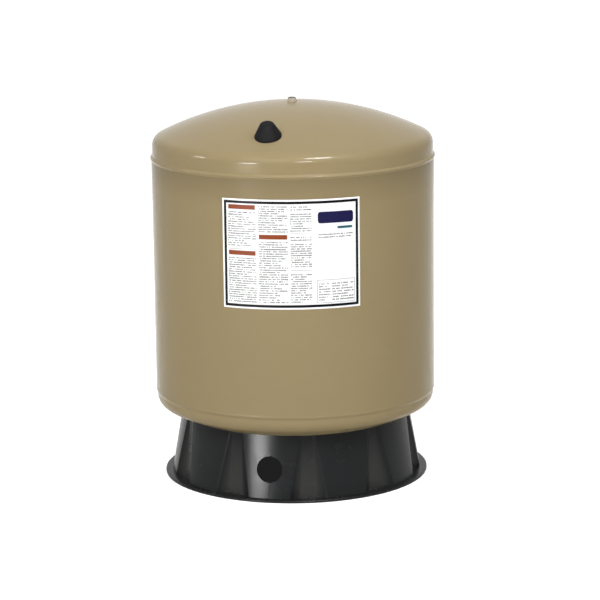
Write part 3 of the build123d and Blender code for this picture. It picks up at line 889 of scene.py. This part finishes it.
def makeFilm():
    work, steps = bmesh.new(), 72
    half, tall = label["width"] / 2, label["height"] / 2
    columns = []
    for step in range(steps + 1):
        sideways = -half + label["width"] * step / steps
        corners = ((-tall, 0.0), (-tall, label["film"]), (tall, label["film"]), (tall, 0.0))
        columns.append([work.verts.new(wrapped(sideways, up, out)) for up, out in corners])
    for first, second in zip(columns, columns[1:]):
        for edge in range(4):
            after = (edge + 1) % 4
            work.faces.new((first[edge], first[after], second[after], second[edge]))
    work.faces.new(columns[0])
    work.faces.new(columns[-1])
    mesh = bpy.data.meshes.new("labelFilm")
    work.to_mesh(mesh)
    work.free()
    return smoothed(mesh)


printFields = [  # middle across, middle up, width, height, corner, ink; millimetres on the flat label
    (86.0, 70.0, 70.0, 22.0, 5.0, inkBlue), (104.0, 50.0, 30.0, 4.6, 1.0, inkTeal),
    (-95.0, 90.0, 54.0, 8.6, 0.0, inkOchre), (-95.0, 2.0, 54.0, 8.6, 0.0, inkOchre),
    (-34.0, 34.0, 54.0, 8.6, 0.0, inkOchre), (-64.5, 9.5, 115.0, 0.5, 0.0, inkGrey),
    (19.0, 41.5, 40.0, 0.5, 0.0, inkGrey), (19.0, -30.0, 40.0, 0.5, 0.0, inkGrey),
    (86.0, -50.0, 74.0, 0.5, 0.0, inkGrey), (86.0, -94.0, 74.0, 0.5, 0.0, inkGrey),
    (49.0, -72.0, 0.5, 44.0, 0.0, inkGrey), (123.0, -72.0, 0.5, 44.0, 0.0, inkGrey),
]
printRows = [  # left, top, width, height, lines, ink
    (-122.0, 82.0, 54.0, 68.0, 15, inkGrey), (-122.0, -6.0, 54.0, 88.0, 20, inkGrey),
    (-61.0, 94.0, 54.0, 52.0, 12, inkGrey), (-61.0, 26.0, 54.0, 120.0, 27, inkGrey),
    (0.0, 94.0, 38.0, 10.4, 2, inkBlack), (0.0, 80.0, 38.0, 36.4, 8, inkGrey),
    (0.0, 36.0, 38.0, 10.4, 2, inkBlack), (0.0, 22.0, 38.0, 46.8, 11, inkGrey),
    (0.0, -36.0, 38.0, 57.2, 13, inkGrey), (53.0, 40.0, 66.0, 10.4, 2, inkGrey),
    (53.0, -55.0, 20.0, 36.0, 7, inkBlack), (78.0, -55.0, 42.0, 36.0, 7, inkGrey),
]


def fieldOfInk(tree, across, up, width, height, corner, ink):
    bar = addNode(tree, "GeometryNodeMeshCube", {
        "Size": (width, height, label["ink"]), "Vertices X": max(2, int(width / label["bar step"])),
    }).outputs[0]
    x, y, z = positionParts(tree)
    past = (x.op("ABSOLUTE") - (width / 2 - corner)).op("MAXIMUM", 0.0)  # into the round corner
    share = 1 - (corner - (corner * corner - past * past).op("MAXIMUM", 0.0).op("SQRT")) / (height / 2)
    return coated(tree, moved(tree, bar, x + across, y * share + up, z), ink)


def linesOfPrint(tree, rule, left, top, width, height, lines, ink, seed):
    letters, pitch = int(width / label["letter pitch"]), height / lines
    grid = addNode(tree, "GeometryNodeMeshGrid", {
        "Size X": width, "Size Y": height - pitch, "Vertices X": letters, "Vertices Y": lines,
    }).outputs[0]
    index, letter, line = pointNumber(tree, lines)

    def drawn(low, high, number, by):
        node = addNode(tree, "FunctionNodeRandomValue", {
            2: low, 3: high, "ID": by, "Seed": seed * 10 + number,
        }, data_type="FLOAT")
        return Field(tree, node.outputs[1])

    past = ((letter + 1) / letters).op("GREATER_THAN", drawn(*label["line ends"], 1, line))
    gap = drawn(0.0, 1.0, 2, index).op("LESS_THAN", label["letter gaps"])
    points = addNode(tree, "GeometryNodeDeleteGeometry", {
        "Geometry": grid, "Selection": past.op("MAXIMUM", gap),
    }).outputs[0]
    tall = rule["letter height"] * drawn(*label["letter heights"], 3, index)
    sides = {0: rule["letter width"], 1: tall, 2: rule["ink"]}
    scale = addNode(tree, "ShaderNodeCombineXYZ", sides).outputs[0]
    block = addNode(tree, "GeometryNodeMeshCube", {"Size": (1, 1, 1)}).outputs[0]
    blocks = addNode(tree, "GeometryNodeInstanceOnPoints", {
        "Points": points, "Instance": block, "Scale": scale,
    }).outputs[0]
    blocks = addNode(tree, "GeometryNodeRealizeInstances", {0: blocks}).outputs[0]
    x, y, z = positionParts(tree)
    return coated(tree, moved(tree, blocks, x + (left + width / 2), y + (top - height / 2), z), ink)


def makePrintTree(sizes):
    tree, rule = newTree("labelPrint", sizes)
    across = label["width"] / 2 - label["border inset"]
    up, line = label["height"] / 2 - label["border inset"], label["border line"]
    branches = [
        fieldOfInk(tree, x, y, width, height, 0.0, inkBlack)
        for x, y, width, height in (
            (0.0, up, 2 * across + line, line), (0.0, -up, 2 * across + line, line),
            (-across, 0.0, line, 2 * up - line), (across, 0.0, line, 2 * up - line),
        )
    ]
    for *field, ink in printFields:
        branches.append(fieldOfInk(tree, *[size * mm for size in field], ink))
    for seed, (*block, lines, ink) in enumerate(printRows):
        branches.append(linesOfPrint(tree, rule, *[size * mm for size in block], lines, ink, seed))
    joined = tree.nodes.new("GeometryNodeJoinGeometry")
    for branch in branches:
        tree.links.new(branch, joined.inputs[0])
    x, y, z = positionParts(tree)
    radius = rule["shell radius"] + rule["film"] + rule["ink"] * 0.5 + z
    turn = rule["turn"] + x / rule["shell radius"]
    bent = moved(tree, joined.outputs[0], radius * turn.op("SINE"), radius * turn.op("COSINE") * -1,
                 rule["middle"] + y)
    closeTree(tree, bent)
    return tree


printInputs = ("turn", "middle", "film", "ink", "letter width", "letter height")
printSizes = {"shell radius": tank["shellRadius"], **{name: label[name] for name in printInputs}}
printMesh = grow("labelPrint", makePrintTree(printSizes), printSizes)
addPiece("labelFilm", makeFilm(), labelFilm, ["label"])
addPiece("labelPrint", printMesh, None)  # its tree gave it the inks
print("label made:", len(printMesh.polygons), "faces of print")


# Studio: pale floor, soft light, and the camera where the photo was taken from

studio = {  # cameraTurn in degrees; pitch, yaw and roll in radians; reaches in metres
    "cameraTurn": 12.64, "cameraReach": 5.068, "cameraHeight": 1.4328, "pitch": 0.21142,
    "yaw": 0.0022, "roll": -0.012, "lens": 155.3, "worldStrength": 0.25, "floorColour": (238, 238, 236),
    "floorGlow": 0.55, "shadedRadius": 0.262, "shadedGlow": 0.025, "shadedColour": (84, 84, 82),
    "farGlow": 0.8, "farFrom": 0.8, "farTo": 3.0, "floorHalf": 40.0, "floorDrop": 0.4 * mm,
}
lamps = {  # degrees from the camera and up, distance, width, height, power, height aimed at, gives
    "keySoftbox": (-24, 34, 3.0, 1.6, 1.2, 54, 0.4, "both"),
    "rightSoftbox": (48, 40, 3.0, 1.4, 1.2, 24, 0.4, "both"),
    "topSoftbox": (40, 72, 2.6, 1.4, 1.4, 15, 0.6, "both"),
    "backFill": (180, 32, 3.2, 2.4, 1.6, 40, 0.4, "fill"),
    "highStrip": (24, 43, 2.8, 0.8, 0.28, 220, 0.66, "glints"),
    "middleStrip": (9, 15, 2.8, 0.5, 0.16, 70, 0.66, "glints"),
    "farLeftStrip": (-78, 15, 2.8, 0.4, 0.2, 34, 0.66, "glints"),
    "skirtStrip": (-35, 5.7, 4.7, 1.1, 0.34, 260, 0.06, "glints"),
}


def makeCamera():
    turn = math.radians(studio["cameraTurn"])
    data = bpy.data.cameras.new("photoCamera")
    data.lens, data.sensor_width, data.clip_end = studio["lens"], 36.0, 100.0
    camera = bpy.data.objects.new("photoCamera", data)
    bpy.context.scene.collection.objects.link(camera)
    reachOut = studio["cameraReach"]
    spin = Matrix.Rotation(turn - studio["yaw"], 4, "Z")
    spin = spin @ Matrix.Rotation(math.pi / 2 - studio["pitch"], 4, "X")
    spin = spin @ Matrix.Rotation(studio["roll"], 4, "Z")
    place = Vector((reachOut * math.sin(turn), -reachOut * math.cos(turn), studio["cameraHeight"]))
    camera.matrix_world = Matrix.Translation(place) @ spin
    bpy.context.scene.camera = camera


def addLamp(name, fromCamera, elevation, distance, width, height, power, aim, gives):
    turn, rise = math.radians(studio["cameraTurn"] + fromCamera), math.radians(elevation)
    target = Vector((0, 0, aim))
    way = Vector((math.sin(turn) * math.cos(rise), -math.cos(turn) * math.cos(rise), math.sin(rise)))
    data = bpy.data.lights.new(name, "AREA")
    data.shape, data.size, data.size_y, data.energy = "RECTANGLE", width, height, power
    light = bpy.data.objects.new(name, data)
    light.location = target + way * distance
    light.rotation_euler = way.to_track_quat("Z", "Y").to_euler()
    light.visible_camera = False
    light.visible_diffuse = gives != "glints"
    light.visible_glossy = gives != "fill"
    bpy.context.scene.collection.objects.link(light)


def raysThatShow(tree):  # the rays that should find a white background
    rays = addNode(tree, "ShaderNodeLightPath").outputs
    seen = Field(tree, rays["Is Camera Ray"]).op("MAXIMUM", Field(tree, rays["Is Glossy Ray"]))
    return seen.op("MAXIMUM", Field(tree, rays["Is Transmission Ray"]))


def makeFloor():
    mesh, half = bpy.data.meshes.new("studioFloor"), studio["floorHalf"]
    corners = [(-half, -half, 0), (half, -half, 0), (half, half, 0), (-half, half, 0)]
    mesh.from_pydata(corners, [], [(0, 1, 2, 3)])
    floor = bpy.data.objects.new("studioFloor", mesh)
    floor.location.z = -studio["floorDrop"]
    bpy.context.scene.collection.objects.link(floor)
    material = newMaterial("paleFloor", {
        "Roughness": 0.9, "Specular IOR Level": 0.0, "Emission Color": (1, 1, 1, 1),
    })
    tree, shader = insideOf(material)
    x, y, _ = objectParts(tree)
    away = reach((x, y))
    far = ((away - studio["farFrom"]) / (studio["farTo"] - studio["farFrom"])).held()
    glow = far * (studio["farGlow"] - studio["floorGlow"]) + studio["floorGlow"]
    # painted shade: inside the skirt's footprint the floor is darker in colour and glows less, where the
    # skirt shades it
    outside = away.op("GREATER_THAN", studio["shadedRadius"])
    pale = tinted(tree, linear(*studio["shadedColour"]), linear(*studio["floorColour"]), outside)
    feed(tree, shader["Base Color"], pale)
    outside = outside * (1 - studio["shadedGlow"]) + studio["shadedGlow"]
    feed(tree, shader["Emission Strength"], raysThatShow(tree) * outside * glow)
    under = addNode(tree, "ShaderNodeMixShader", {
        0: addNode(tree, "ShaderNodeNewGeometry").outputs["Backfacing"],
        1: tree.nodes["Principled BSDF"].outputs[0],
        2: addNode(tree, "ShaderNodeBsdfTransparent").outputs[0],
    }).outputs[0]  # open from below, so that the underside shows
    feed(tree, tree.nodes["Material Output"].inputs[0], under)
    mesh.materials.append(material)


def makeWorld():
    world = bpy.data.worlds.new("studioWorld")
    world.use_nodes = True
    tree = world.node_tree
    background = tree.nodes["Background"].inputs
    background["Color"].default_value = (1, 1, 1, 1)
    strength = raysThatShow(tree) * (1 - studio["worldStrength"]) + studio["worldStrength"]
    feed(tree, background["Strength"], strength)
    bpy.context.scene.world = world


makeCamera()
makeWorld()
makeFloor()
for name, values in lamps.items():
    addLamp(name, *values)
bpy.context.scene.view_settings.view_transform = "Standard"
print("studio ready")
